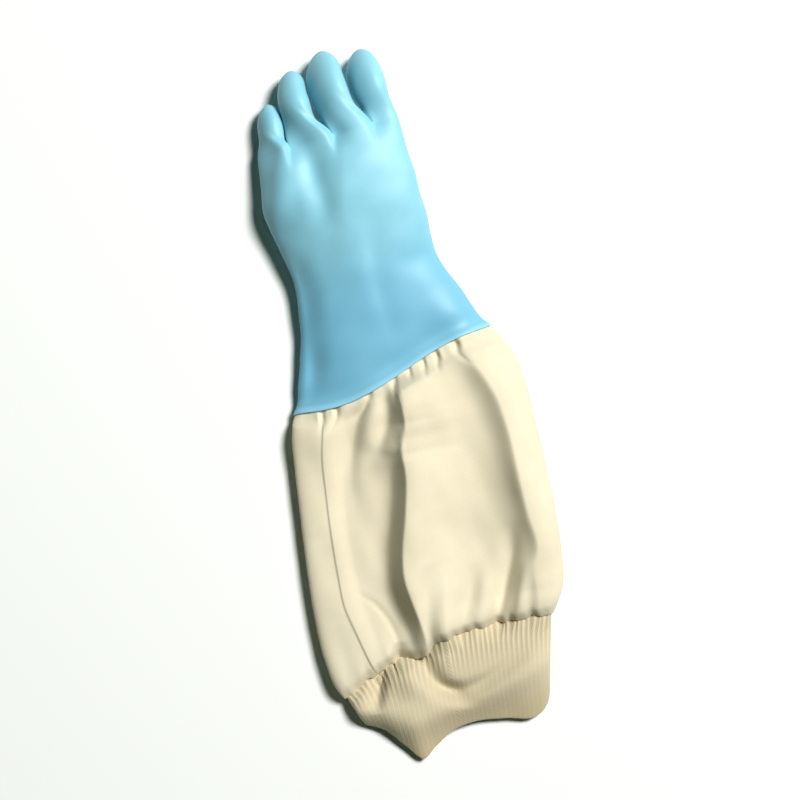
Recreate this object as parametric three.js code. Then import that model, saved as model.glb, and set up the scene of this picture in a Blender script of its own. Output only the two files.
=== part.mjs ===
// A beekeeper's glove for the left hand, lying back up with its thumb folded under the palm.
// A dipped latex hand ends in a flared cuff. A cotton sleeve is gathered into that cuff, and a
// ribbed knit band is gathered into the sleeve's other end, where the arm goes in.
// Millimetres. +Y runs to the fingertips, +X to the thumb's side, +Z up, and the table is Z = 0.
import * as THREE from "three";

// Walls, and the small gaps between sewn layers.
const LATEX_WALL = 1.5;
const COTTON_WALL = 1.2;
const KNIT_WALL = 2;
const SEWN_GAP = 0.4; // from latex to cotton
const KNIT_GAP = 1.3; // from cotton to the tops of the knit's ribs
const PAST_EDGE = 1.2; // a tucked layer keeps its depth this far beyond the edge over it
const WEB_WEIGHT = 12; // how strongly a web's wall is held back from the fingers, in radians of face

// How a ring of the hand is divided: across one finger's width, and down one side.
const LANE_STEPS = 4;
const SIDE_STEPS = 3;
const THUMB_STEPS = 5;
// Where the palm divides into fingers, across its width from the thumb's side, 1, to the other, -1,
// on its back and underneath. The webs between the fingers slant from one to the other.
const LANES_OVER = [0.94, 0.66, 0.1, -0.52, -0.94];
const LANES_UNDER = [0.94, 0.48, -0.06, -0.58, -0.94];
const SECTION_POWER = 2.4; // a section of the palm, between an ellipse, 2, and a box

// The palm and cuff, one row for each section. yL and xL place the little finger's side of the
// section, yR and xR the thumb's side; top and low are its heights at the thumb's side, in the
// middle and at the little finger's side. What lies below zero is pressed flat by the table.
const PALM_ROWS = [
  { xL: -83, yL: 6, xR: 80, yR: 42, top: [21, 25, 19], low: [-1.5, -1.5, -1.5] },
  { xL: -76, yL: 27, xR: 70, yR: 62, top: [25, 29, 22], low: [-1.5, -1.5, -1.5] },
  { xL: -69, yL: 50, xR: 60, yR: 84, top: [29, 33, 25], low: [-1.5, -1.5, -1.5] },
  { xL: -63.5, yL: 82, xR: 51.5, yR: 104, top: [33, 37, 28], low: [-1, -1.5, -1.5] },
  { xL: -62, yL: 106, xR: 50.5, yR: 120, top: [37, 40, 31], low: [3, 0, -1] },
  { xL: -66, yL: 128, xR: 50.5, yR: 138, top: [41, 42, 33], low: [11, 7, 0] },
  { xL: -71.5, yL: 150, xR: 49.5, yR: 156, top: [43, 44, 34], low: [20, 18, 1] },
  { xL: -73.5, yL: 168, xR: 48.5, yR: 174, top: [44, 45, 34], low: [23, 22, 2] },
  { xL: -71.2, yL: 187, xR: 46.5, yR: 195, top: [44, 44, 31], low: [24, 23, 2] },
  { xL: -69.5, yL: 206, xR: 45, yR: 215, top: [42, 43, 27], low: [22, 21, 3] },
];
// The palm's rings, as places in the table above, and how deep each one dips between the fingers.
const PALM_RINGS = [
  [0, 0], [0.34, 0], [1, 0], [1.6, 0], [2.3, 0], [3, 0], [3.6, 0], [4.2, 0], [4.6, 0], [5.1, 0],
  [5.6, 0], [6.1, 0], [6.7, 0], [7.3, 0.06], [7.9, 0.2], [8.5, 0.5], [9, 1],
];
const CROTCH_DIP = 0.62; // how much of the palm's half thickness is lost between two fingers
const CROTCH_REACH = 0.2; // how far across the dip between them spreads
const CROTCH_POWER = 0.7; // below 1, its sides rise steeply and round off on top
const EDGE_FLARE = 1.8; // how far the cuff's edge stands out over the gathered cloth
const EDGE_BOW = -6.5; // how far the cuff's edge sags towards the sleeve on top
const EDGE_SKEW = -2.3;

// Ridges of the hand's back: the middle finger's bone with the groove beside it, and the soft
// crease along the cuff. A ridge runs along a line of [y, x, height] and falls off over left, to
// the little finger's side, and over right, to the thumb's. A height below zero is a furrow.
const HAND_RIDGES = [
  { line: [[228, 2, 0], [210, 2, 3], [191, -2, 6], [172, -6, 6], [153, -10, 4], [130, -12, 0]],
    left: 14, right: 30 },
  { line: [[226, -30, 0], [212, -29, -3], [191, -27, -4], [172, -25, -3.5], [150, -23, 0]],
    left: 8, right: 8 },
  { line: [[130, -56, 0], [107, -50, -4], [84, -50, -3], [62, -53, -2], [38, -56, -4], [8, -64, 0]],
    left: 7, right: 12 },
];

// Fingers, from the thumb's side. Each passes through four points, of which the last is its tip.
// Its width and thickness are given at its base, halfway and at its tip, and it is rolled by some
// degrees, with its edge on the thumb's side up.
const FINGERS = [
  { through: [[32.5, 214, 31], [28.5, 235, 30], [25, 254.5, 24], [25, 271.8, 12]],
    width: [25, 29.5, 25], thick: [20, 20, 19], roll: 14 },
  { through: [[5.5, 213, 34], [-1.5, 235, 35], [-5.6, 257, 27], [-4.7, 275.9, 13]],
    width: [29, 31.5, 26], thick: [21, 21, 19], roll: 14 },
  { through: [[-26.5, 211, 31], [-31.5, 231, 31], [-33, 250, 23.5], [-29.2, 267.1, 12]],
    width: [26, 27, 22], thick: [20, 20, 18], roll: 18 },
  { through: [[-56, 206, 17], [-56, 220, 17], [-55, 234, 14], [-52.7, 245, 10]],
    width: [22, 23, 18], thick: [19, 18, 16], roll: 24 },
];
const THUMB = {
  through: [[29, 143, 9.2], [21.5, 168.5, 9.2], [8, 194.5, 9.2], [-9, 219, 9]],
  width: [36, 32, 27], thick: [18.6, 18.3, 18], roll: 0,
};
const THUMB_RINGS = [8, 11]; // the palm rings between which the thumb leaves the palm
const FINGER_RINGS = [0.25, 0.52, 0.8]; // shares of the path to where the fingertip's dome starts
const FINGER_SPREAD = 0.32; // a finger takes up its own section over this share of its path
const THUMB_SPREAD = 0.3;
const DOME_LENGTH = 0.85; // of the finger's width
const DOME_ANGLES = [0, 30, 54, 74]; // degrees round the fingertip's dome, whose pole is at 90

// The sleeve's rows, from the latex cuff to the knit band: its two sides, and its puffed height.
const SLEEVE_ROWS = [
  { xL: -85, yL: 0, xR: 84, yR: 36, top: 22 },
  { xL: -88.5, yL: -10, xR: 93, yR: 22, top: 23 },
  { xL: -91.5, yL: -32, xR: 98.5, yR: -2, top: 20 },
  { xL: -94.5, yL: -62, xR: 100, yR: -35, top: 18 },
  { xL: -97.5, yL: -96, xR: 101, yR: -72, top: 18 },
  { xL: -100, yL: -130, xR: 101, yR: -108, top: 18 },
  { xL: -101, yL: -160, xR: 99, yR: -140, top: 19 },
  { xL: -100, yL: -188, xR: 95, yR: -166, top: 20 },
  { xL: -96, yL: -210, xR: 88, yR: -179, top: 21 },
  { xL: -91, yL: -220, xR: 83, yR: -187, top: 19 },
];
const ROW_STEP = 25; // about how far apart the rows lie
const SLEEVE_RINGS = [0, 0.6, 1.3, 2.1, 3, 4, 5.1, 6.2, 7.1, 8.1, 9];
const SLEEVE_POWER = 3.2;
const CLOTH_LOW = -1; // where an unpressed section of cloth would reach below the table
const SLEEVE_SPLIT = 3; // steps of the sleeve's top for each step of the hand's
// The sleeve's folds, written as the hand's ridges are: the long fold down its middle, the one by
// the thumb's side with its branch, the pleat beside the flat strip, and the gathers at the band.
const SLEEVE_RIDGES = [
  { line: [[24, 5, 2], [0, 6, 9], [-20, 6, 12], [-35, -2, 9], [-50, -1, 9], [-74, -5, 13],
    [-100, -14, 15], [-137, -19, 15], [-173, -15, 12], [-204, -14, 5]], left: 9, right: 34 },
  { line: [[36, 52, 2], [19, 67, 7], [-10, 81, 10], [-35, 84, 11], [-85, 85, 12], [-133, 88, 11],
    [-147, 82, 9], [-184, 79, 4]], left: 15, right: 16 },
  { line: [[-145, 69, 0], [-167, 61, 5], [-186, 55, 2]], left: 6, right: 6 },
  { line: [[6, -56, 1], [-33, -65, 4], [-61, -68, 4.5], [-101, -71, 4.5], [-148, -72, 4.5],
    [-172, -67, 4], [-206, -58, 3]], left: 2.5, right: 18 },
  { line: [[8, -32, 1], [-10, -46, 4], [-45, -57, 5], [-80, -56, 2], [-120, -56, 0]],
    left: 9, right: 9 },
  { line: [[-132, -4, 0], [-160, -15, -4], [-190, -16, -5]], left: 6, right: 9 },
  { line: [[-136, 30, 0], [-167, 18, -4], [-190, 10, -4]], left: 7, right: 9 },
  { line: [[-139, -66, 0], [-148, -57, 2.5], [-171, -44, 3], [-190, -43, 3]], left: 6, right: 5 },
];
// Local puffs and dents of the sleeve: centre, reach each way, and height.
const SLEEVE_PUFFS = [
  { x: -21, y: -12, reachX: 14, reachY: 17, height: 7 },
  { x: -24, y: -50, reachX: 16, reachY: 14, height: -3 },
];
const GATHERS = 15; // small pleats across the top at each seam
const GATHER_HEIGHT = 1.8;
const GATHER_REACH = 15; // how far they run from the seam
const BAND_BOW = 14; // how far the seam to the knit band rises towards the cuff on top
const BAND_SKEW = -0.25;
const BAND_NOTCH = { x: -24, reach: 9, depth: 7 }; // where a fold pulls that seam back
const NOTCH_POWER = 6; // how soon that dies out away from the seam

// The knit band's mouth: how far its edge lies beyond the line between its two sides.
const BAND_MOUTH = { xL: -80, yL: -243, xR: 67, yR: -246 };
const MOUTH_EDGE = [
  [-1, 0], [-0.8, -7], [-0.62, -22], [-0.47, -34], [-0.3, -26], [-0.1, -17], [0.15, -13],
  [0.5, -15], [0.8, -17.5], [0.92, -12.5], [0.98, -6], [1, -2],
];
const MOUTH_POWER = 1.3; // how the band's rings change from the seam's line to the mouth's
const BAND_RINGS = [0.25, 0.5, 0.75, 1];
const BAND_HEIGHTS = [[0, 17], [0.3, 21], [0.6, 22], [0.8, 17], [1, 10]];
const BAND_RIDGES = [
  { line: [[-190, -24, -3], [-221, -18, -6], [-233, -2, -4], [-250, 4, 0]], left: 9, right: 13 },
  { line: [[-195, -42, 1], [-213, -40, 4], [-232, -38, 0]], left: 14, right: 8 },
];
const RIBS = 54;
const RIB_DEPTH = 0.7; // a rib stands this far out, and the furrow beside it this far in

// Working out a value between two, in a table of rows, and along a line whose rows start with
// their place and give the other values there.
const mix = (a, b, t) => a + (b - a) * t;

function rowAt(rows, place) {
  const first = Math.min(Math.max(Math.floor(place), 0), rows.length - 2);
  const share = place - first;
  const between = {};
  for (const name of Object.keys(rows[0])) {
    const a = rows[first][name];
    const b = rows[first + 1][name];
    between[name] = Array.isArray(a) ? a.map((v, i) => mix(v, b[i], share)) : mix(a, b, share);
  }
  return between;
}

function along(line, place) {
  const rising = line[0][0] < line[1][0] ? line : [...line].reverse();
  const held = Math.min(Math.max(place, rising[0][0]), rising.at(-1)[0]);
  const next = Math.max(1, rising.findIndex(([start]) => start >= held));
  const [before, after] = [rising[next - 1], rising[next]];
  const share = (held - before[0]) / (after[0] - before[0]);
  return before.slice(1).map((value, i) => mix(value, after[i + 1], share));
}

// How high ridges and puffs stand at a place seen from above.
function relief(ridges, puffs, x, y) {
  let height = 0;
  for (const { line, left, right } of ridges) {
    const [middle, top] = along(line, y);
    height += top * Math.exp(-(((x - middle) / (x < middle ? left : right)) ** 2));
  }
  for (const puff of puffs) {
    const away = ((x - puff.x) / puff.reachX) ** 2 + ((y - puff.y) / puff.reachY) ** 2;
    height += puff.height * Math.exp(-away);
  }
  return height;
}

// A ring's points moved square to the ring, out of it or, below zero, into it.
function movedOut(ring, distance) {
  return ring.map((point, i) => {
    const before = ring[(i + ring.length - 1) % ring.length];
    const after = ring[(i + 1) % ring.length];
    const out = new THREE.Vector3(after.z - before.z, 0, before.x - after.x).normalize();
    return point.clone().addScaledVector(out, distance);
  });
}

// A section's outline in its own measure: across from -1 to 1, and up from -1 to 1.
const upAt = (across, power) => (1 - Math.abs(across) ** power) ** (1 / power);

function sideSteps(sign, power) {
  const corner = Math.acos(LANES_OVER[0] ** (power / 2));
  const steps = [];
  for (let i = 1; i < SIDE_STEPS; i++) {
    const angle = corner * (1 - (2 * i) / SIDE_STEPS);
    const up = Math.sign(angle) * Math.abs(Math.sin(angle)) ** (2 / power);
    steps.push({ across: sign * Math.cos(angle) ** (2 / power), up: -sign * up, crown: 1 });
  }
  return steps;
}

// 1 in the middle of a finger's lane, 0 where two fingers part, and 1 out to the hand's sides.
function crownAt(across, lanes) {
  const nearest = Math.min(...lanes.slice(1, -1).map((edge) => Math.abs(across - edge)));
  return Math.min(1, nearest / CROTCH_REACH) ** CROTCH_POWER;
}

// The outline from the thumb's side over the top, down the other side, and back underneath.
function outline(power) {
  const half = (lanes, sign) => {
    const steps = lanes.slice(1).flatMap((end, lane) => (
      [...Array(LANE_STEPS).keys()].map((i) => mix(lanes[lane], end, i / LANE_STEPS))));
    return [...steps, lanes.at(-1)].map((across) => (
      { across, up: sign * upAt(across, power), crown: crownAt(across, lanes) }));
  };
  const over = half(LANES_OVER, 1);
  const under = half(LANES_UNDER, -1).reverse();
  return [...over, ...sideSteps(-1, power), ...under, ...sideSteps(1, power)];
}
const TOP_COUNT = LANE_STEPS * (LANES_OVER.length - 1) + 1;

// The parabola through three values, at shares of 0, a half and 1.
const parabola = ([first, middle, last], share) => first * (1 - share) * (1 - 2 * share)
  + middle * 4 * share * (1 - share) + last * share * (2 * share - 1);

function palmRing(place, dip) {
  const row = rowAt(PALM_ROWS, place);
  const flare = place === 0 ? EDGE_FLARE : 0;
  const length = Math.hypot(row.xR - row.xL, row.yR - row.yL);
  return outline(SECTION_POWER).map(({ across, up, crown }) => {
    const dipped = up * (1 - dip * CROTCH_DIP * (1 - crown));
    const wide = 0.5 + (across * (0.5 * length + flare)) / length;
    const top = parabola(row.top, (1 - across) / 2) + flare;
    const low = parabola(row.low, (1 - across) / 2);
    const bow = EDGE_BOW * (1 - across ** 2) * (1 + EDGE_SKEW * across);
    const onTop = Math.max(0, up);
    const x = mix(row.xL, row.xR, wide);
    const y = mix(row.yL, row.yR, wide) + bow * onTop * Math.max(0, 1 - place / 2);
    const lift = relief(HAND_RIDGES, [], x, y) * onTop;
    return new THREE.Vector3(x, y, Math.max(0, mix(low, top, (1 + dipped) / 2) + lift));
  });
}

// A surface is a list of points and of faces that point out. For points on the sharp line of a web
// between two fingers it keeps the way those fingers run, because the wall lies behind that line.
class Surface {
  points = [];
  faces = [];
  webs = new Map();

  add(ring) {
    const first = this.points.length;
    this.points.push(...ring);
    return ring.map((_, i) => first + i);
  }

  // Joins two closed loops of as many points, leaving out the faces that skip says.
  join(loop, next, skip = () => false) {
    loop.forEach((a, i) => {
      const j = (i + 1) % loop.length;
      if (!skip(i)) this.faces.push([a, next[i], next[j], loop[j]]);
    });
  }

  close(loop, pole) {
    loop.forEach((a, i) => this.faces.push([a, pole, loop[(i + 1) % loop.length]]));
  }

  get triangles() {
    return this.faces.flatMap(([a, b, c, d]) => (
      d === undefined ? [[a, b, c]] : [[a, b, c], [a, c, d]]));
  }

  // The points moved into the piece, each square to the faces round it, where a face counts as
  // much as its corner at the point is wide.
  movedIn(depth) {
    const normals = this.points.map((_, i) => (
      (this.webs.get(i) ?? new THREE.Vector3()).clone().multiplyScalar(WEB_WEIGHT)));
    for (const face of this.triangles) {
      face.forEach((i, k) => {
        const [ahead, behind] = [1, 2].map((step) => (
          this.points[face[(k + step) % 3]].clone().sub(this.points[i])));
        const normal = new THREE.Vector3().crossVectors(ahead, behind).normalize();
        normals[i].addScaledVector(normal, ahead.angleTo(behind));
      });
    }
    return this.points.map((p, i) => p.clone().addScaledVector(normals[i].normalize(), -depth));
  }
}

// The cubic curve that passes through four points a third of its run apart.
function curveThrough(rows) {
  const points = rows.map((row) => new THREE.Vector3(...row));
  const sum = (...weights) => points.reduce((total, point, i) => (
    total.addScaledVector(point, weights[i] / 6)), new THREE.Vector3());
  return new THREE.CubicBezierCurve3(points[0], sum(-5, 18, -9, 2), sum(2, -9, 18, -5), points[3]);
}

// Degrees round a finger's section, in the order in which outline goes round the palm's.
const SECTION_CORNERS = [35, 145, 215, 325, 395];

function sectionDegrees(topSteps) {
  const counts = [topSteps, SIDE_STEPS, topSteps, SIDE_STEPS];
  return counts.flatMap((count, side) => (
    [...Array(count).keys()].map((i) => (
      mix(SECTION_CORNERS[side], SECTION_CORNERS[side + 1], i / count)))));
}

// Places along a finger, as shares of its path, with the size that its section has there.
function fingerStations(dome) {
  const shaft = FINGER_RINGS.map((share) => ({ at: share * (1 - dome), size: 1 }));
  const tip = DOME_ANGLES.map(THREE.MathUtils.degToRad)
    .map((angle) => ({ at: 1 - dome + dome * Math.sin(angle), size: Math.cos(angle) }));
  return [...shaft, ...tip];
}

// A finger or thumb, carried on from a loop of the palm, which it leaves over spread of its path.
function addFinger(surface, { through, width, thick, roll }, baseLoop, topSteps, spread) {
  const curve = curveThrough(through);
  const base = baseLoop.map((i) => surface.points[i]);
  let loop = baseLoop;
  for (const { at, size } of fingerStations((DOME_LENGTH * width[2]) / curve.getLength())) {
    const centre = curve.getPointAt(at);
    const forward = curve.getTangentAt(at);
    const side = new THREE.Vector3(forward.y, -forward.x, 0).normalize();
    const up = new THREE.Vector3().crossVectors(side, forward);
    const turn = THREE.MathUtils.degToRad(roll);
    const own = THREE.MathUtils.smoothstep(at, 0, spread);
    const ring = sectionDegrees(topSteps).map((degrees, i) => {
      const angle = THREE.MathUtils.degToRad(degrees);
      const across = (size * parabola(width, at) * Math.cos(angle)) / 2;
      const over = (size * parabola(thick, at) * Math.sin(angle)) / 2;
      const point = centre.clone()
        .addScaledVector(side, across * Math.cos(turn) - over * Math.sin(turn))
        .addScaledVector(up, across * Math.sin(turn) + over * Math.cos(turn));
      const carried = base[i].clone().sub(curve.v0).add(centre);
      point.lerpVectors(carried, point, own);
      return point.setZ(Math.max(0, point.z));
    });
    const next = surface.add(ring);
    surface.join(loop, next);
    loop = next;
  }
  surface.close(loop, surface.add([curve.v3])[0]);
}

// The web between two fingers: the points between the last ring's top and bottom.
function addWeb(surface, top, bottom, fingers) {
  const a = surface.points[top];
  const b = surface.points[bottom];
  const between = surface.add([1, 2].map((i) => a.clone().lerp(b, i / SIDE_STEPS)));
  const run = new THREE.Vector3();
  for (const { through } of fingers)
    run.add(new THREE.Vector3(...through[1])).sub(new THREE.Vector3(...through[0]));
  [top, bottom, ...between].forEach((i) => surface.webs.set(i, run.normalize()));
  return between;
}

function handSurface() {
  const surface = new Surface();
  const rings = PALM_RINGS.map(([place, dip]) => surface.add(palmRing(place, dip)));
  const underEnd = 2 * TOP_COUNT + SIDE_STEPS - 1; // just past the last point underneath
  const firstThumbStep = underEnd - 1 - THUMB_STEPS;
  const [backRing, frontRing] = THUMB_RINGS;
  for (let r = 0; r + 1 < rings.length; r++) {
    const atThumb = r >= backRing && r < frontRing;
    const skip = (i) => atThumb && i >= firstThumbStep && i < firstThumbStep + THUMB_STEPS;
    surface.join(rings[r], rings[r + 1], skip);
  }

  const last = rings[rings.length - 1];
  const topAt = (step) => last[step];
  const underAt = (step) => last[underEnd - 1 - step];
  const littleSide = last.slice(TOP_COUNT, TOP_COUNT + SIDE_STEPS - 1);
  const thumbSide = last.slice(underEnd).reverse();
  const sides = [thumbSide];
  for (let i = 1; i < FINGERS.length; i++)
    sides.push(addWeb(surface, topAt(i * LANE_STEPS), underAt(i * LANE_STEPS),
      FINGERS.slice(i - 1, i + 1)));
  sides.push(littleSide);
  FINGERS.forEach((finger, i) => {
    const steps = [...Array(LANE_STEPS + 1).keys()].map((s) => s + i * LANE_STEPS);
    const over = steps.map(topAt);
    const under = [...steps].reverse().map(underAt);
    const baseLoop = [...over, ...sides[i + 1], ...under, ...[...sides[i]].reverse()];
    addFinger(surface, finger, baseLoop, LANE_STEPS, FINGER_SPREAD);
  });

  // The hole that the thumb leaves from: its front edge, little finger's side, back and other side.
  const columns = [...Array(THUMB_STEPS + 1).keys()].map((c) => firstThumbStep + c);
  const front = [...columns].reverse().map((c) => rings[frontRing][c]);
  const back = columns.map((c) => rings[backRing][c]);
  const inner = [frontRing - 1, backRing + 1].map((r) => rings[r][columns[0]]);
  const outer = [backRing + 1, frontRing - 1].map((r) => rings[r][columns[THUMB_STEPS]]);
  addFinger(surface, THUMB, [...front, ...inner, ...back, ...outer], THUMB_STEPS,
      THUMB_SPREAD);
  return surface;
}

function sleeveRing(place) {
  const row = rowAt(SLEEVE_ROWS, place);
  const end = SLEEVE_ROWS.length - 1;
  const toSeam = Math.min(place, end - place) * ROW_STEP;
  return refined(outline(SLEEVE_POWER)).map(({ across, up }) => {
    const wide = (1 + across) / 2;
    const x = mix(row.xL, row.xR, wide);
    const onTop = Math.max(0, up);
    const notch = BAND_NOTCH.depth * Math.exp(-(((x - BAND_NOTCH.x) / BAND_NOTCH.reach) ** 2));
    const cuffBow = EDGE_BOW * (1 + EDGE_SKEW * across) * (1 - across ** 2);
    const bandBow = BAND_BOW * (1 + BAND_SKEW * across) * (1 - across ** 2);
    const bow = mix(cuffBow, bandBow, place / end) - notch * (place / end) ** NOTCH_POWER;
    const y = mix(row.yL, row.yR, wide) + bow * onTop;
    const gather = GATHER_HEIGHT * Math.cos(Math.PI * GATHERS * across)
      * Math.exp(-toSeam / GATHER_REACH);
    const lift = (relief(SLEEVE_RIDGES, SLEEVE_PUFFS, x, y) + gather) * onTop;
    return new THREE.Vector3(x, y, Math.max(0, mix(CLOTH_LOW, row.top, (1 + up) / 2) + lift));
  });
}

// Each step of an outline's top, divided in three.
function refined(ring) {
  const between = (a, b, t) => (a.isVector3 ? a.clone().lerp(b, t)
    : { across: mix(a.across, b.across, t), up: mix(a.up, b.up, t) });
  return ring.flatMap((point, i) => {
    const splits = i < TOP_COUNT - 1 ? SLEEVE_SPLIT : 1;
    return [...Array(splits).keys()].map((s) => between(point, ring[(i + 1) % ring.length],
      s / splits));
  });
}

// The rings of a layer sewn under the first two rings of another, and one just past its edge.
function tuckedRings(over, count, depth) {
  const points = over.movedIn(depth);
  const [edge, within] = [0, 1].map((r) => points.slice(r * count, (r + 1) * count));
  const past = edge.map((p) => p.clone().setY(p.y - PAST_EDGE));
  return [past, edge, within];
}

function sleeveSurface(hand) {
  const surface = new Surface();
  const tucked = tuckedRings(hand, outline(SECTION_POWER).length, LATEX_WALL + SEWN_GAP);
  const free = SLEEVE_RINGS.map((place) => sleeveRing(place)).reverse();
  const loops = [...free, ...tucked.map(refined)].map((ring) => surface.add(ring));
  for (let i = 0; i + 1 < loops.length; i++) surface.join(loops[i], loops[i + 1]);
  return surface;
}

// Places round a ring at even steps: a point's number, and the share of the way to the next.
function evenPlaces(ring, count) {
  const walked = [0];
  ring.forEach((p, i) => walked.push(walked[i] + p.distanceTo(ring[(i + 1) % ring.length])));
  return [...Array(count).keys()].map((step) => {
    const distance = (step / count) * walked.at(-1);
    const i = walked.findLastIndex((start) => start <= distance);
    return i + (distance - walked[i]) / (walked[i + 1] - walked[i]);
  });
}

function pointAt(ring, place) {
  const i = Math.floor(place);
  return ring[i].clone().lerp(ring[(i + 1) % ring.length], place - i);
}

// Every second point out and the others in, but never into the table.
function ribbed(ring) {
  const out = movedOut(ring, RIB_DEPTH);
  const inside = movedOut(ring, -RIB_DEPTH);
  return ring.map((_, i) => (i % 2 ? out[i].setZ(Math.max(0, out[i].z)) : inside[i]));
}

function bandRing(share) {
  const seam = SLEEVE_ROWS.at(-1);
  const inset = COTTON_WALL + KNIT_GAP + RIB_DEPTH;
  const [height] = along(BAND_HEIGHTS, share);
  return refined(outline(SLEEVE_POWER)).map(({ across, up }) => {
    const wide = (1 + across) / 2;
    const onTop = Math.max(0, up);
    const [edge] = along(MOUTH_EDGE, across);
    const bandBow = BAND_BOW * (1 + BAND_SKEW * across) * (1 - across ** 2) * onTop;
    const x = mix(mix(seam.xL + inset, seam.xR - inset, wide),
      mix(BAND_MOUTH.xL, BAND_MOUTH.xR, wide), share);
    const y = mix(mix(seam.yL, seam.yR, wide), mix(BAND_MOUTH.yL, BAND_MOUTH.yR, wide), share)
      + mix(bandBow, edge, share ** MOUTH_POWER);
    const lift = relief(BAND_RIDGES, [], x, y) * onTop;
    return new THREE.Vector3(x, y, Math.max(0, mix(CLOTH_LOW, height, (1 + up) / 2) + lift));
  });
}

// The band's plain surface and, on the same faces, its ribs.
function bandSurfaces(sleeve) {
  const tucked = tuckedRings(sleeve, sleeveRing(0).length, COTTON_WALL + KNIT_GAP + RIB_DEPTH);
  const places = evenPlaces(tucked[1], 2 * RIBS);
  const free = BAND_RINGS.map((share) => bandRing(share)).reverse();
  const rings = [...free, ...tucked].map((ring) => places.map((place) => pointAt(ring, place)));
  return [rings, rings.map(ribbed)].map((kept) => {
    const surface = new Surface();
    const loops = kept.map((ring) => surface.add(ring));
    for (let i = 0; i + 1 < loops.length; i++) surface.join(loops[i], loops[i + 1]);
    return surface;
  });
}

// A hollow piece: the outer surface, the inner points on the same faces turned round, and a strip
// round each edge.
function shell(surface, inner) {
  const outer = surface.triangles;
  const count = surface.points.length;
  const edges = new Map();
  for (const face of outer)
    face.forEach((a, k) => edges.set(`${a} ${face[(k + 1) % 3]}`, [a, face[(k + 1) % 3]]));
  const lining = outer.map(([a, b, c]) => [a + count, c + count, b + count]);
  const rims = [...edges.values()]
    .filter(([a, b]) => !edges.has(`${b} ${a}`))
    .flatMap(([a, b]) => [[b, a, a + count], [b, a + count, b + count]]);
  const geometry = new THREE.BufferGeometry().setFromPoints([...surface.points, ...inner]);
  geometry.setIndex([...outer, ...lining, ...rims].flat());
  geometry.computeVertexNormals();
  return geometry;
}

const latex = new THREE.MeshStandardMaterial({ color: 0x8ecbe4, roughness: 0.55, metalness: 0 });
const cotton = new THREE.MeshStandardMaterial({ color: 0xe9dfc2, roughness: 0.95, metalness: 0 });
const knit = new THREE.MeshStandardMaterial({ color: 0xdccdaa, roughness: 1, metalness: 0 });

function piece(name, surface, inner, material) {
  const mesh = new THREE.Mesh(shell(surface, inner), material);
  mesh.name = name;
  return mesh;
}

const hand = handSurface();
const sleeve = sleeveSurface(hand);
const [band, bandRibs] = bandSurfaces(sleeve);
const glove = new THREE.Group();
glove.add(
  piece("latex_hand", hand, hand.movedIn(LATEX_WALL), latex),
  piece("cotton_sleeve", sleeve, sleeve.movedIn(COTTON_WALL), cotton),
  piece("knit_band", bandRibs, band.movedIn(KNIT_WALL), knit),
);
export default glove;
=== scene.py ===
# %% [markdown]
# # A beekeeper's glove for the left hand
# The glove lies back up on a table. It is made of three pieces: a dipped latex hand with a flared
# cuff, a cotton sleeve gathered into that cuff, and a ribbed knit band where the arm goes in.
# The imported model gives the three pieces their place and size. Each is made again here as a fine
# surface, from the same sizes, with the folds and the finish that cloth and latex have.

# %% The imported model
import math

import bpy
import numpy as np
from mathutils import Matrix, Vector


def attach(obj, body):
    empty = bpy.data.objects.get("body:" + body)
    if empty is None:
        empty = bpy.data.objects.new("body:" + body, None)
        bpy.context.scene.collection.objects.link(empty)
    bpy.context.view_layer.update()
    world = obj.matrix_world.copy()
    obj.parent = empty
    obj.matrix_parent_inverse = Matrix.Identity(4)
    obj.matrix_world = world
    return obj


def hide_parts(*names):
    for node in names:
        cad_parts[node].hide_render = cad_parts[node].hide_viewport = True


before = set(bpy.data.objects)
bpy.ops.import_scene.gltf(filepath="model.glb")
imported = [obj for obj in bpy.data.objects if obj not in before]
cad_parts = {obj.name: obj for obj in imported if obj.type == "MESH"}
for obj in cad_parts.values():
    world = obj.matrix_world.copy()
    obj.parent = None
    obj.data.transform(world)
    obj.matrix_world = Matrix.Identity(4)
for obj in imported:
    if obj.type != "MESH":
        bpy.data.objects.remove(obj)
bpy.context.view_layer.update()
print("packed nodes:", sorted(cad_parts))

# %% [markdown]
# ## Units and colours
# The tables below are in millimetres, as a pattern maker would write them, and one factor turns
# them to Blender's metres. Colours are written as sRGB hex values, which a shader needs as linear
# numbers, so one function changes them.

# %% Units and colours
MM = 0.001


def linear(hex_code):
    """An sRGB colour as linear numbers: a channel c becomes c / 12.92 up to 0.04045, and
    ((c + 0.055) / 1.055) ^ 2.4 above it."""
    channels = np.array([int(hex_code[i:i + 2], 16) for i in (0, 2, 4)]) / 255
    curved = ((channels + 0.055) / 1.055) ** 2.4
    return (*np.where(channels <= 0.04045, channels / 12.92, curved), 1.0)


# %% [markdown]
# ## The camera
# The photograph was taken from almost straight above, with the glove's cuff to the right of its
# fingers. A camera is only a place, a direction and a way up, so its matrix is built from those
# three. A longer lens brings the glove close without changing the perspective.

# %% The camera
CAMERA_PLACE = Vector((92.3, 27.3, 2644)) * MM
CAMERA_TARGET = Vector((0, 0, 15)) * MM
PHOTO_UP = Vector((0.208, 0.978, 0))
LENS = 152.0  # in the units of SENSOR; about 0.62 m of table fills the frame
SENSOR = 36.0
CLIP_END = 20.0  # metres


def aimed(name, data, place, target, up):
    """A new object at place whose -Z axis points at target and whose +Y leans to up."""
    back = (place - target).normalized()
    right = up.cross(back).normalized()
    turn = Matrix((right, back.cross(right), back)).transposed()
    piece = bpy.data.objects.new(name, data)
    piece.matrix_world = Matrix.Translation(place) @ turn.to_4x4()
    bpy.context.scene.collection.objects.link(piece)
    return piece


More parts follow.
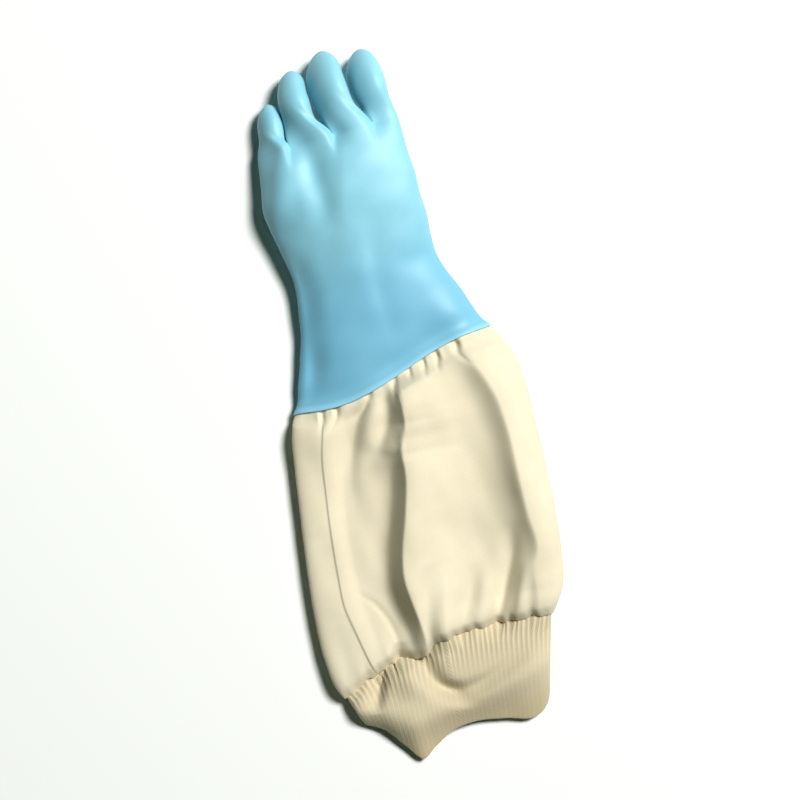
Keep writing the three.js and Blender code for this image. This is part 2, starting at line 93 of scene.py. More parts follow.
def make_camera():
    data = bpy.data.cameras.new("photo_camera")
    data.lens = LENS
    data.sensor_width = SENSOR
    data.clip_end = CLIP_END
    bpy.context.scene.camera = aimed("photo_camera", data, CAMERA_PLACE, CAMERA_TARGET, PHOTO_UP)
    print(f"camera {(CAMERA_PLACE - CAMERA_TARGET).length:.2f} m from the glove")


make_camera()

# %% [markdown]
# ## Tables and curves
# A pattern maker measures a sleeve at a few places and draws a smooth line through them. The same
# is done here: a table has a row for each place, and a cubic joins each two rows. Its slope at a
# row comes from the rows on both sides, so the surface shows no corner where two stretches meet.

# %% Tables and curves


def smooth(table, places):
    """The columns of a table at places in its first column. Between two rows at a and b, with
    t = (place - a) / (b - a), a value is (1 + 2t)(1 - t)^2 A + t^2 (3 - 2t) B plus the two slopes'
    shares t (1 - t)^2 and -t^2 (1 - t). Beyond the ends the end rows hold."""
    rows = np.array(sorted(table), float)
    at, values = rows[:, 0], rows[:, 1:]
    slopes = np.gradient(values, at, axis=0)
    held = np.clip(places, at[0], at[-1])
    i = np.clip(np.searchsorted(at, held) - 1, 0, len(at) - 2)
    span = at[i + 1] - at[i]
    t = ((held - at[i]) / span)[..., None]
    span = span[..., None]
    ahead = t ** 2 * (3 - 2 * t) * values[i + 1] - t ** 2 * (1 - t) * slopes[i + 1] * span
    behind = (1 + 2 * t) * (1 - t) ** 2 * values[i] + t * (1 - t) ** 2 * slopes[i] * span
    return np.moveaxis(ahead + behind, -1, 0)


def parabola(values, share):
    """The parabola through three values at shares 0, 1/2 and 1."""
    first, middle, last = values
    return (first * (1 - share) * (1 - 2 * share) + middle * 4 * share * (1 - share)
            + last * share * (2 * share - 1))


def smoothstep(x, start, end):
    """0 below start, 1 above end, and 3t^2 - 2t^3 between."""
    t = np.clip((x - start) / (end - start), 0, 1)
    return t * t * (3 - 2 * t)


def folds(table, x, y):
    """How high folds stand at places seen from above. A fold's row holds its reach to the left and
    to the right, its bend, and its crest as rows of y, x and height. It falls off with the distance
    d from the crest as exp(-(d/reach)^2). A fold with a bend r leans over to the left, so it is
    steepest at the crest: its left side falls as exp((r - sqrt(d^2 + r^2)) / reach). A height below
    zero is a furrow."""
    height = np.zeros(np.broadcast(x, y).shape)
    for left, right, bend, line in table:
        crest, top = smooth(line, y)
        away = x - crest
        left_fall = np.exp(-(away / left) ** 2)
        if bend:
            left_fall = np.exp((bend - np.hypot(away, bend)) / left)
        height += top * np.where(away < 0, left_fall, np.exp(-(away / right) ** 2))
    return height


def puffs(table, x, y):
    """Round swellings: each adds height * exp(-(dx/a)^2 - (dy/b)^2) round its middle."""
    return sum(height * np.exp(-((x - middle_x) / a) ** 2 - ((y - middle_y) / b) ** 2)
               for middle_x, middle_y, a, b, height in table)


def bowed(strength, skew, across):
    """How far a line bends between its ends: strength (1 + skew x) (1 - x^2), with x across."""
    return strength * (1 + skew * across) * (1 - across ** 2)


def lengths_along(points):
    """How far along a path each of its points lies."""
    steps = np.linalg.norm(np.diff(points, axis=0), axis=-1)
    return np.concatenate([[0], np.cumsum(steps)])


# %% [markdown]
# ## Meshes
# A tube of cloth is a grid of points: rows along it and columns round it. Cloth is a wall with two
# sides, so the grid is carried round its rim and back inside, which makes one closed body. The
# rim is a half circle, as a folded edge is.

# %% Meshes


def new_object(name, points, faces, uv=None, **attributes):
    """A smooth mesh object at the origin from points in mm and faces, with a UV for each face's
    corners and a number for each point."""
    mesh = bpy.data.meshes.new(name)
    mesh.from_pydata((points * MM).tolist(), [], [f.tolist() for f in faces])
    if uv is not None:
        layer = mesh.uv_layers.new(name="surface")
        layer.data.foreach_set("uv", uv.astype(np.float32).ravel())
    for key, values in attributes.items():
        numbers = mesh.attributes.new(key, "FLOAT", "POINT").data
        numbers.foreach_set("value", values.astype(np.float32).ravel())
    mesh.shade_smooth()
    piece = bpy.data.objects.new(name, mesh)
    bpy.context.scene.collection.objects.link(piece)
    return piece


def grid_normals(grid):
    """Unit normals of a tube's grid: the cross product of the steps round it and along it. They
    point outwards, because columns run from the thumb's side over the top, and rows to the mouth."""
    around = np.roll(grid, -1, 1) - np.roll(grid, 1, 1)
    along = np.gradient(grid, axis=0)
    normals = np.cross(around, along)
    return normals / np.linalg.norm(normals, axis=-1, keepdims=True)


RIM_DEGREES = (36, 72, 108, 144)


def walled(grid, thickness):
    """A tube's grid carried round both rims and back inside: rows of the outside, a half circle
    of points of radius thickness / 2, the rows moved in by the thickness, and a half circle."""
    normals = grid_normals(grid)
    inside = grid - thickness * normals

    def rim(row, before):
        away = grid[row] - grid[before]
        away /= np.linalg.norm(away, axis=-1, keepdims=True)
        return np.stack([(grid[row] + inside[row]) / 2 + thickness / 2
                         * (normals[row] * math.cos(a) + away * math.sin(a))
                         for a in np.radians(RIM_DEGREES)])

    return np.concatenate([grid, rim(-1, -2), inside[::-1], rim(0, 1)[::-1]])


def tube_object(name, grid, thickness, around, along, **attributes):
    """The object of a walled tube. around holds the U of each column and of the first one again,
    along the V of each row, and each attribute a number for each point of the outer grid."""
    loop = walled(grid, thickness)
    rows, columns = loop.shape[:2]
    outer = grid.shape[0]
    row_of = np.concatenate([np.arange(outer), np.full(len(RIM_DEGREES), outer - 1),
                             np.arange(outer)[::-1], np.zeros(len(RIM_DEGREES), int)])
    r, c = np.meshgrid(np.arange(rows), np.arange(columns), indexing="ij")
    corners = [(r, c), (r, c + 1), (r + 1, c + 1), (r + 1, c)]
    faces = np.stack([(i % rows) * columns + j % columns for i, j in corners], -1)
    uv = np.stack([np.stack([around[j], along[row_of[i % rows]]], -1) for i, j in corners], -2)
    spread = {key: values[row_of] for key, values in attributes.items()}
    return new_object(name, loop.reshape(-1, 3), faces.reshape(-1, 4), uv.reshape(-1, 2), **spread)


# %% [markdown]
# ## Sections
# A section across the glove is flatter than an ellipse. Lame's curve |x|^p + |y|^p = 1 gives that
# with one number: p = 2 is an ellipse, and a larger p is closer to a box.

# %% Sections
HAND_POWER = 2.25
CLOTH_POWER = 5.0
EVEN_SAMPLES = 20000


def lame(angles, power):
    """Points of |x|^p + |y|^p = 1 at angles: x = cos(a)^(2/p) and y = sin(a)^(2/p), with signs."""
    def share(wave):
        return np.sign(wave) * np.abs(wave) ** (2 / power)
    return share(np.cos(angles)), share(np.sin(angles))


def lame_height(across, power):
    """How high |x|^p + |y|^p = 1 stands over x: (1 - |x|^p)^(1/p)."""
    return (1 - np.abs(across) ** power) ** (1 / power)


def section(count, power, width, height, dense=()):
    """Places round a Lame curve of a real width and height, an even distance apart. Where dense
    gives a stretch of the top as (start, end, factor), they lie closer by that factor."""
    angles = np.linspace(0, 2 * math.pi, EVEN_SAMPLES)
    across, up = lame(angles, power)
    steps = np.hypot(np.diff(across) * width / 2, np.diff(up) * height / 2)
    middle = (across[1:] + across[:-1]) / 2
    for start, end, factor in dense:
        steps = steps * np.where((middle > start) & (middle < end) & (up[1:] > 0), factor, 1)
    walked = np.concatenate([[0], np.cumsum(steps)])
    even = np.interp(np.arange(count) * walked[-1] / count, walked, angles)
    return lame(even, power)


# %% [markdown]
# ## The latex hand: its sizes
# A former is dipped in liquid latex, so the hand is one skin without a seam. Its sections from the
# cuff to the knuckles stand in a table, each finger has the four points that its middle passes
# through, and the thumb lies folded under the palm.

# %% The latex hand: its sizes
LATEX_WALL = 1.2
DETAIL = 3  # how finely each step between two named places is divided
LANE_STEPS = 4 * DETAIL
SIDE_STEPS = 3 * DETAIL
THUMB_STEPS = 5 * DETAIL
LANE_CROWDING = 0.5  # how much closer the columns lie where two fingers part

# Where the palm parts into fingers, from the thumb's side, 1, to the other, -1, over and under.
LANES_OVER = (0.94, 0.66, 0.1, -0.52, -0.94)
LANES_UNDER = (0.94, 0.48, -0.06, -0.58, -0.94)

# Columns: place, the little finger's side x and y, the thumb's side x and y, then the height over
# the table at the thumb's side, in the middle and at the little finger's side, on top and below.
PALM_ROWS = (
    (0, -83, 6, 80, 42, 21, 25, 19, -1.5, -1.5, -1.5),
    (1, -76, 27, 70, 62, 25, 29, 22, -1.5, -1.5, -1.5),
    (2, -69, 50, 60, 84, 29, 33, 25, -1.5, -1.5, -1.5),
    (3, -63.5, 82, 51.5, 104, 33, 37, 28, -1, -1.5, -1.5),
    (4, -62, 106, 50.5, 120, 37, 40, 31, 3, 0, -1),
    (5, -66, 128, 50.5, 138, 41, 42, 33, 11, 7, 0),
    (6, -71.5, 150, 49.5, 156, 43, 44, 34, 20, 18, 1),
    (7, -73.5, 168, 48.5, 174, 44, 45, 34, 23, 22, 2),
    (8, -71.2, 187, 46.5, 195, 44, 44, 31, 24, 23, 2),
    (9, -69.5, 206, 45, 215, 42, 43, 27, 22, 21, 3),
)
# The rings of the palm as places in that table, and how deep each dips between the fingers.
PALM_RINGS = (
    (0, 0), (0.2, 0), (0.5, 0), (1, 0), (1.6, 0), (2.3, 0), (3, 0), (3.6, 0), (4.2, 0), (4.6, 0),
    (5.1, 0), (5.6, 0), (6.1, 0), (6.7, 0), (7.3, 0), (7.9, 0), (8.3, 0.1), (8.7, 0.5), (9, 1),
)
THUMB_RINGS = (9, 12)  # the rings between which the thumb leaves the palm
# A web dips at once on the little finger's side and slowly on the thumb's, where the next
# finger's flank comes down to it. In halves of the palm's width:
CROTCH_DIP = 0.72
CROTCH_REACH = (0.05, 0.2)  # towards the little finger and towards the thumb
EDGE_BEAD = 1.7  # mm that the cuff's edge stands out, where the film is rolled up on itself
EDGE_BEAD_REACH = 0.16  # in steps of the table
EDGE_DIP = {"at": 0.5, "reach": 0.3, "depth": 1.3}
EDGE_BOW = -6.5
EDGE_SKEW = -2.3
BOW_FADE = 2  # steps of the table over which the edge's bow fades

# Folds have the columns reach to the left and to the right, bend, and crest.
HAND_FOLDS = (
    # The bone of the middle finger, the groove beside it and the bone of the ring finger.
    (13, 30, 0, ((226, 4, 0), (210, 2, 1.5), (191, -1, 3.2), (172, -5, 3.6), (153, -9, 2.6),
     (130, -12, 1), (100, -14, 0))),
    (8, 8, 0, ((232, -31, 0), (214, -30, -2.5), (191, -28, -3.6), (172, -26, -3.2), (150, -24, -1),
     (135, -22, 0))),
    (16, 11, 0, ((205, -45, 0), (190, -44, 1.2), (165, -43, 2), (140, -41, 1.2), (118, -38, 0))),
    # The shoulder above the little finger's side, which falls steeply to the left.
    (7, 14, 3, ((222, -50, 0), (206, -50, 5), (194, -55, 7), (177, -60, 8), (163, -64, 7),
     (146, -65, 0))),
    # Soft folds of the cuff: along the little finger's side, in the middle and at the thumb's.
    (6, 9, 0, ((134, -62, 0), (110, -56, -4), (84, -55, -3.6), (62, -58, -2.4), (38, -61, -4.5),
     (20, -66, -3.4), (4, -74, 0))),
    (8, 11, 0, ((150, 9, 0), (125, 6, -1.3), (100, 4, -1.6), (70, 5, -1.2), (36, 8, 0))),
    (24, 12, 0, ((104, 46, 0), (84, 52, 3), (62, 59, 7.5), (44, 65, 9), (24, 70, 8))),
)

FINGERS = (
    {"through": ((32.5, 214, 31), (28.3, 235, 28.9), (24.8, 254.5, 24), (25, 271.8, 12)),
     "width": (25, 33.5, 27), "thick": (20, 21, 20), "roll": 41},
    {"through": ((5.5, 213, 34), (-1.7, 235, 32.8), (-5.6, 257, 27), (-4.7, 275.9, 13)),
     "width": (29, 35.5, 27), "thick": (21, 20, 18), "roll": 38},
    {"through": ((-26.5, 211, 31), (-31, 231, 28.8), (-32.8, 250, 23), (-29.2, 267.1, 12)),
     "width": (26, 30.5, 20.5), "thick": (20, 20, 17), "roll": 51},
    {"through": ((-56, 206, 17), (-55.6, 220, 16.5), (-54.8, 234, 15), (-52.7, 245, 10)),
     "width": (22, 27.5, 19.5), "thick": (19, 18, 15.5), "roll": 52},
)
THUMB = {"through": ((29, 143, 9.2), (21.5, 168.5, 9.2), (8, 194.5, 9.2), (-9, 219, 9)),
         "width": (36, 32, 27), "thick": (18.6, 18.3, 18), "roll": 0}
FINGER_LEAN = 0.12  # how much higher a finger stands on its thumb's side than on the other
FINGER_SPREAD = 0.5  # the share of its path over which a finger takes up its own section
THUMB_SPREAD = 0.3
SHAFT_RINGS = 5 * DETAIL
DOME_LENGTH = 0.85  # of the width at the tip
DOME_DEGREES = (0, 14, 28, 41, 53, 63, 72, 80)
SECTION_CORNERS = (35, 145, 215, 325, 395)
CURVE_SAMPLES = 400

# %% [markdown]
# ## The latex hand: its cage
# One could sculpt a hand or join tubes, but a net that flows from the palm into each finger keeps
# the webs between them whole. So the rings of the palm end in five loops, and each finger carries
# its loop on to its tip. Subdivision then rounds the net off, as the liquid latex does.

# %% The latex hand: the palm


def palm_outline():
    """Across and up of the points round the palm's ring, from the thumb's side over the top and
    back underneath. They lie closer together where two fingers part. The web share is 1 there, and
    falls off with the distance d as exp(-(d/reach)^2)."""
    steps = np.arange(4 * LANE_STEPS + 1) / LANE_STEPS
    steps = steps - LANE_CROWDING * np.sin(2 * math.pi * steps) / (2 * math.pi)
    over = np.interp(steps, np.arange(5), LANES_OVER)
    under = np.interp(steps, np.arange(5), LANES_UNDER)[::-1]
    corner = math.acos(LANES_OVER[0] ** (HAND_POWER / 2))
    side, rise = lame(corner * (1 - 2 * np.arange(1, SIDE_STEPS) / SIDE_STEPS), HAND_POWER)

    def web(across, lanes):
        away = across[:, None] - np.array(lanes[1:-1])
        reach = np.where(away < 0, *CROTCH_REACH)
        return np.exp(-(away / reach) ** 2).max(1)

    none = np.zeros(SIDE_STEPS - 1)
    return (np.concatenate([over, -side, under, side]),
            np.concatenate([lame_height(over, HAND_POWER), rise,
                            -lame_height(under, HAND_POWER), -rise]),
            np.concatenate([web(over, LANES_OVER), none, web(under, LANES_UNDER), none]))


def palm_surface(place, dip, across, up, web):
    """Points of the palm and cuff. A section goes from its little finger's side to its thumb's
    side by (1 + across) / 2, and from low to top by (1 + up) / 2, plus the folds of the back. The
    cuff's edge is a bead, exp(-(place/reach)^2), with a shallow furrow above it."""
    xl, yl, xr, yr, *heights = smooth(PALM_ROWS, place)
    edge = (EDGE_BEAD * np.exp(-(place / EDGE_BEAD_REACH) ** 2)
            - EDGE_DIP["depth"] * np.exp(-((place - EDGE_DIP["at"]) / EDGE_DIP["reach"]) ** 2))
    wide = 0.5 + across * (0.5 + edge / np.hypot(xr - xl, yr - yl))
    top = parabola(heights[:3], (1 - across) / 2) + edge
    low = parabola(heights[3:], (1 - across) / 2)
    bow = bowed(EDGE_BOW, EDGE_SKEW, across) * np.maximum(0, 1 - place / BOW_FADE)
    on_top = np.maximum(0, up)
    x = xl + (xr - xl) * wide
    y = yl + (yr - yl) * wide + bow * on_top
    dipped = up * (1 - dip * CROTCH_DIP * web)
    z = low + (top - low) * (1 + dipped) / 2 + folds(HAND_FOLDS, x, y) * on_top
    return np.stack([x, y, np.maximum(0, z)], -1)


# %% [markdown]
# A finger is a rounded section carried along a cubic curve, and its tip is a dome. It starts with
# the loop that the palm hands over, and over the first half of its path that loop turns into the
# finger's own section. The thumb's does so sooner.

# %% The latex hand: the fingers


def curve_through(rows, shares):
    """Points and directions of the curve through four points, at shares of its length. Each of its
    coordinates is the cubic a t^3 + b t^2 + c t + d that fits them at t = 0, 1/3, 2/3 and 1."""
    cubics = [np.poly1d(np.polyfit(np.arange(4) / 3, axis, 3)) for axis in zip(*rows)]
    t = np.linspace(0, 1, CURVE_SAMPLES)
    walked = lengths_along(np.stack([cubic(t) for cubic in cubics], 1))
    at = np.interp(np.asarray(shares) * walked[-1], walked, t)
    points = np.stack([cubic(at) for cubic in cubics], 1)
    ways = np.stack([cubic.deriv()(at) for cubic in cubics], 1)
    return points, ways / np.linalg.norm(ways, axis=1, keepdims=True), walked[-1]


def finger_rings(finger, base, top_steps, spread):
    """Rings of a finger after its base loop. At a share s of the path the ring's point at angle a
    is the middle plus width/2 cos(a) sideways and thick/2 sin(a) (1 + lean cos(a)) up, rolled, and
    mixed with the base loop carried along until s reaches spread. The rings of the dome shrink by
    cos(d)."""
    length = curve_through(finger["through"], [0])[2]
    dome = DOME_LENGTH * finger["width"][2] / length
    turns = np.radians(DOME_DEGREES)
    shares = np.concatenate([np.arange(1, SHAFT_RINGS) / SHAFT_RINGS * (1 - dome),
                             1 - dome + dome * np.sin(turns)])
    size = np.concatenate([np.ones(SHAFT_RINGS - 1), np.cos(turns)])[:, None]
    middle, ahead, _ = curve_through(finger["through"], shares)
    side = np.stack([ahead[:, 1], -ahead[:, 0], 0 * ahead[:, 0]], 1)
    side /= np.linalg.norm(side, axis=1, keepdims=True)
    lift = np.cross(side, ahead)
    counts = (top_steps, SIDE_STEPS, top_steps, SIDE_STEPS)
    places = np.concatenate([i + np.arange(n) / n for i, n in enumerate(counts)])
    angles = np.radians(np.interp(places, np.arange(5), SECTION_CORNERS))
    s = shares[:, None]
    across = size * parabola(finger["width"], s) * np.cos(angles) / 2
    lean = FINGER_LEAN if finger["roll"] else 0  # the thumb lies flat
    over = size * parabola(finger["thick"], s) * np.sin(angles) / 2 * (1 + lean * np.cos(angles))
    roll = math.radians(finger["roll"])
    own = (middle[:, None] + side[:, None] * (across * math.cos(roll)
           - over * math.sin(roll))[..., None]
           + lift[:, None] * (across * math.sin(roll) + over * math.cos(roll))[..., None])
    carried = base + (middle - np.array(finger["through"][0]))[:, None]
    mixed = smoothstep(s, 0, spread)[..., None]
    rings = carried * (1 - mixed) + own * mixed
    rings[..., 2] = np.maximum(0, rings[..., 2])
    return rings


# %% [markdown]
# The cage collects rings and the faces between them. The webs take a few points between the back
# and the underside of the last ring, and the thumb's loop is the rim of a window in the palm.

# %% The latex hand: the net


class Cage:
    """Points and faces of a net, with each ring's numbers kept as an array."""

    def __init__(self):
        self.points, self.faces, self.count = [], [], 0

    def add(self, points):
        first, self.count = self.count, self.count + len(points)
        self.points.append(points)
        return np.arange(first, self.count)

    def join(self, loop, following, kept=slice(None)):
        quads = [loop, following, np.roll(following, -1), np.roll(loop, -1)]
        self.faces.extend(np.stack(quads, 1)[kept])

    def where(self, numbers):
        return np.concatenate(self.points)[numbers]

    def add_finger(self, finger, base, top_steps, spread):
        loop = base
        for ring in finger_rings(finger, self.where(base), top_steps, spread):
            following = self.add(ring)
            self.join(loop, following)
            loop = following
        pole = self.add(np.array([finger["through"][3]], float))[0]
        self.faces.extend(np.stack([loop, np.full(len(loop), pole), np.roll(loop, -1)], 1))


def hand_cage():
    """The net of the whole hand: the palm's rings with a window for the thumb, the webs, the four
    fingers and the thumb, with each point's place in PALM_ROWS."""
    cage = Cage()
    across, up, web = palm_outline()
    named = np.array(PALM_RINGS)
    steps = np.arange((len(named) - 1) * DETAIL + 1) / DETAIL
    places = np.interp(steps, np.arange(len(named)), named[:, 0])
    dips = smooth(PALM_RINGS, places)[0]
    grid = palm_surface(places[:, None], dips[:, None], across, up, web)
    rings = [cage.add(ring) for ring in grid]

    top_count = 4 * LANE_STEPS + 1
    under_end = 2 * top_count + SIDE_STEPS - 1
    thumb_first = under_end - 1 - THUMB_STEPS
    back, front = (ring * DETAIL for ring in THUMB_RINGS)
    columns = np.arange(len(across))
    window = (columns >= thumb_first) & (columns < thumb_first + THUMB_STEPS)
    for r in range(len(rings) - 1):
        cage.join(rings[r], rings[r + 1], ~window if back <= r < front else slice(None))

    last = rings[-1]
    over = last[:top_count]
    under = last[under_end - 1:under_end - 1 - top_count:-1]
    sides = [last[under_end:][::-1]]
    for i in range(1, len(FINGERS)):
        ends = cage.where([over[i * LANE_STEPS], under[i * LANE_STEPS]])
        share = np.arange(1, SIDE_STEPS)[:, None] / SIDE_STEPS
        sides.append(cage.add(ends[0] * (1 - share) + ends[1] * share))
    sides.append(last[top_count:top_count + SIDE_STEPS - 1])
    for i, finger in enumerate(FINGERS):
        lane = slice(i * LANE_STEPS, (i + 1) * LANE_STEPS + 1)
        base = np.concatenate([over[lane], sides[i + 1], under[lane][::-1], sides[i][::-1]])
        cage.add_finger(finger, base, LANE_STEPS, FINGER_SPREAD)

    hole = np.arange(thumb_first, thumb_first + THUMB_STEPS + 1)
    between = np.arange(back + 1, front)
    base = np.concatenate([rings[front][hole[::-1]],
                           [rings[r][hole[0]] for r in between[::-1]],
                           rings[back][hole],
                           [rings[r][hole[-1]] for r in between]])
    cage.add_finger(THUMB, base, THUMB_STEPS, THUMB_SPREAD)
    place = np.full(cage.count, places[-1])
    place[:len(rings) * len(across)] = np.repeat(places, len(across))
    return np.concatenate(cage.points), cage.faces, place


# %% [markdown]
# ## The latex hand: the skin
# The rounded net is read back as arrays. Latex that has been worn is never quite even, so a few
# long waves move the skin by a fraction of a millimetre. Solidify then gives it its wall.

# %% The latex hand: the skin
LATEX_WAVES = (  # length of a wave in mm, its direction, its height in mm
    (47, (0.9, 0.3, 0.2), 0.28), (31, (-0.4, 0.8, 0.5), 0.18), (19, (0.7, -0.6, 0.3), 0.08),
    (26, (0.2, 0.95, -0.4), 0.12),
)


def evaluated(piece):
    """Points, normals, faces and places in PALM_ROWS of a piece with its modifiers applied."""
    shown = piece.evaluated_get(bpy.context.evaluated_depsgraph_get())
    mesh = shown.to_mesh()
    count = len(mesh.vertices)
    points, normals, place = np.zeros(count * 3), np.zeros(count * 3), np.zeros(count)
    mesh.vertices.foreach_get("co", points)
    mesh.vertices.foreach_get("normal", normals)
    mesh.attributes["place"].data.foreach_get("value", place)
    faces = [np.array(p.vertices) for p in mesh.polygons]
    shown.to_mesh_clear()
    return points.reshape(-1, 3) / MM, normals.reshape(-1, 3), faces, place


def waves(points, table):
    """A sum of sines: height * sin(2 pi (p . direction) / length + length)."""
    return sum(height * np.sin(2 * math.pi * points @ np.array(way) / length + length)
               for length, way, height in table)


def make_latex_hand():
    points, faces, place = hand_cage()
    cage = new_object("latex_cage", points, faces, place=place)
    rounding = cage.modifiers.new("rounding", "SUBSURF")
    rounding.levels = rounding.render_levels = 1
    points, normals, faces, place = evaluated(cage)
    bpy.data.objects.remove(cage)
    points += normals * waves(points, LATEX_WAVES)[:, None]
    points[:, 2] = np.maximum(0, points[:, 2])
    hand = new_object("dipped_latex_hand", points, faces, place=place)
    wall = hand.modifiers.new("latex_wall", "SOLIDIFY")
    wall.thickness = LATEX_WALL * MM
    wall.offset = -1
    print(f"latex hand: {len(points)} points, {len(faces)} faces")
    return hand


hand = make_latex_hand()

# %% [markdown]
# ## The cotton sleeve: its sizes and folds
# The sleeve is a tube of cotton drill, cut wider than the cuff and the knit band and gathered into
# both, so it puffs out between them. Cloth simulation could gather it, but the folds would fall
# where they like. These folds are measured, so each is written down: its crest, its height and how
# steeply it falls. A fold that leans over its left side falls steeply there.

# %% The cotton sleeve: its sizes and folds
COTTON_WALL = 0.8
SEAM_GAP = 0.5  # from the latex's wall to the cloth under it
SLEEVE_COLUMNS = 350
SLEEVE_ROWS_ALONG = 116
SEAM_CROWDING = 0.55  # how much closer the rows lie at the seams
TUCK = 9.0  # how far the cloth runs on under the cuff
TUCK_STEP = 1.25  # mm between the rows of that stretch
PAST_END = 0.1  # mm beyond the end of a stretch, so that its last row is one of them
CUFF_STEP = 22.0  # mm from the cuff's edge to the second row of PALM_ROWS
CUFF_EASE = (0, 12)  # mm from the cuff's edge over which the sleeve takes up its own shape
CUFF_FREE = (0, 14)  # those over which its folds rise
CLOTH_LOW = -1.0

# Columns: the little finger's side x and y, the thumb's side x and y, and the puffed height.
SLEEVE_ROWS = (
    (-81, 6, 78, 42, 21), (-85, 0, 84, 36, 22), (-88.5, -10, 93, 22, 23),
    (-91.5, -32, 98.5, -2, 20), (-94.5, -62, 100, -35, 18), (-97.5, -96, 101, -72, 18),
    (-100, -130, 101, -108, 18), (-101, -160, 99, -140, 19), (-100, -188, 95, -166, 20),
    (-96, -210, 88, -179, 21), (-91, -220, 83, -187, 19),
)
SLEEVE_FOLDS = (
    # The long fold in the middle: a short crest and its furrow at the cuff, then the long crest,
    # its broad foot and its furrow.
    (9, 38, 1.4, ((24, 2, 3), (8, 2, 12), (-8, 2, 17), (-20, 1, 16), (-29, -2, 10), (-42, -6, 0))),
    (8, 7, 0, ((20, -8, 0), (8, -10, -3), (-8, -12, -5), (-20, -16, -5), (-32, -22, -3),
     (-42, -26, 0))),
    (8, 36, 1.4, ((-18, -2, 0), (-30, -4, 7), (-40, -6, 13), (-53, -6, 14), (-88, -13, 15),
     (-111, -20, 15), (-137, -24, 15), (-155, -22, 14), (-173, -19, 12), (-192, -18, 9),
     (-204, -20, 5))),
    (24, 36, 1.4, ((-30, -4, 2), (-53, -6, 6), (-88, -13, 7), (-111, -20, 7), (-137, -24, 7),
     (-155, -22, 6), (-173, -19, 5), (-192, -18, 3), (-204, -20, 1))),
    (14, 8, 0, ((-46, -20, 0), (-62, -21, -4), (-88, -27, -5), (-111, -34, -5), (-137, -38, -5),
     (-155, -36, -5), (-173, -33, -4), (-192, -31, -3), (-204, -31, -1))),
    # The fold along the thumb's side, its foot, and the crest and the furrow that part from it.
    (10, 34, 4.5, ((36, 48, 1), (19, 61, 7), (-10, 74, 12), (-35, 78, 14), (-85, 79, 16),
     (-108, 80, 16), (-133, 82, 14), (-147, 77, 11), (-165, 75, 10), (-184, 73, 7))),
    (36, 34, 1.4, ((36, 48, 0), (19, 61, 4), (-10, 74, 7), (-35, 78, 9), (-108, 80, 9),
     (-133, 82, 6), (-165, 75, 2))),
    (5, 6, 0, ((-138, 72, 0), (-150, 67, 3), (-169, 60, 4), (-186, 54, 2))),
    (8, 6, 0, ((-108, 66, 0), (-135, 60, -4.5), (-160, 49, -7.5), (-186, 38, -6))),
    # The pleat beside the flat strip, the hollow between it and the long fold, the strip's own
    # rise, and the valley at the cuff.
    (1.1, 14, 0, ((10, -60.5, 0.3), (-1, -61, 1), (-33, -68, 1.2), (-61, -71, 1.3),
     (-101, -74, 1.3), (-127, -75, 1.3), (-148, -75, 1.3), (-172, -70, 1.3), (-193, -65, 1.3),
     (-206, -61, 1.2))),
    (9, 28, 0, ((-30, -50, -1), (-60, -56, -3), (-100, -60, -3.5), (-140, -60, -3.5),
     (-165, -57, -3), (-195, -52, -2))),
    (8, 14, 0, ((-20, -86, 0), (-60, -91, 2), (-130, -97, 2.5), (-190, -94, 1.5))),
    (12, 7, 0, ((9, -24, -2), (-4, -34, -5), (-21, -42, -6), (-38, -48, -5), (-51, -51, -2.5),
     (-80, -54, 0))),
    # Gathers that run up from the knit band, the hollows first and then the crests.
    (6, 8, 0, ((-128, -4, 0), (-140, -7.9, -2.5), (-160, -11, -4), (-176, -14, -4.5),
     (-192, -15, -4))),
    (7, 8, 0, ((-136, 30, 0), (-146, 26.3, -2), (-167, 18, -4), (-187, 11, -4))),
    (6, 6, 0, ((-132, 8, 0), (-148, 6, 1.5), (-168, 1, 2), (-183, -3, 2), (-192, -4, 0.5))),
    (6, 7, 0, ((-138, 38, 0), (-154, 34, 1.5), (-176, 27, 2), (-188, 24, 0.5))),
    # A thin crease that curves down to the band, and the pinch at its end.
    (2.2, 3, 0, ((-138, -66, 0), (-144, -60, -0.5), (-150, -54, -1), (-160, -47.6, -1),
     (-181, -41, -0.8), (-194, -40, 0))),
    (4, 6, 0, ((-184, -41, 0), (-194, -45, -5), (-203, -53, -6), (-209, -60, -4))),
)
# A fold across the sleeve, where the puff hangs over, by x, the crest's y and the height. Here
# left is the knit band's side.
SLEEVE_CROSS_FOLDS = (
    (9, 15, 0, ((-46, -22, 0), (-36, -25, 1.5), (-26, -29, 3), (-16, -33, 3), (-8, -36, 1),
     (-2, -38, 0))),
)
# Columns: x and y of the middle, the reach along x and along y, and the height.
SLEEVE_PUFFS = (
    (-19, -3, 12, 15, 2.5), (-86, -92, 9, 1.6, -0.5), (30, -40, 30, 34, 1.5),
)
CLOTH_WAVES = (  # the same columns as LATEX_WAVES
    (43, (0.8, 0.6, 0), 0.35), (27, (-0.5, 0.85, 0), 0.2), (15, (0.3, -0.95, 0), 0.04),
    (19, (0.97, 0.2, 0), 0.1),
)
# The creases where the cuff's gathers pull: y and x at the seam and at the end, depth and width.
CUFF_CREASES = (
    (-1.2, -60.9, -13.3, -65.6, 2.2, 2.2), (0.7, -49.6, -14.6, -59.4, 2.4, 2.4),
    (9.5, -22.4, -10, -36, 2.4, 2.6), (18, -1, -4, -3.3, 2.8, 2.6),
    (22.6, 11.6, 12, 12.2, 2.2, 1.8), (23, 23.3, 11, 24.2, 2.4, 2),
    (26.5, 34.2, 13, 35, 2.4, 2.2), (30.3, 50.2, 14, 62, 2.4, 3),
)
CREASE_START = 6.0  # how far above the seam a crease begins, under the latex

# %% [markdown]
# The gathers at both seams are small pleats of no fixed size. Three waves whose lengths have no
# common measure give such an uneven row, and the shortest die out first as the cloth runs free.

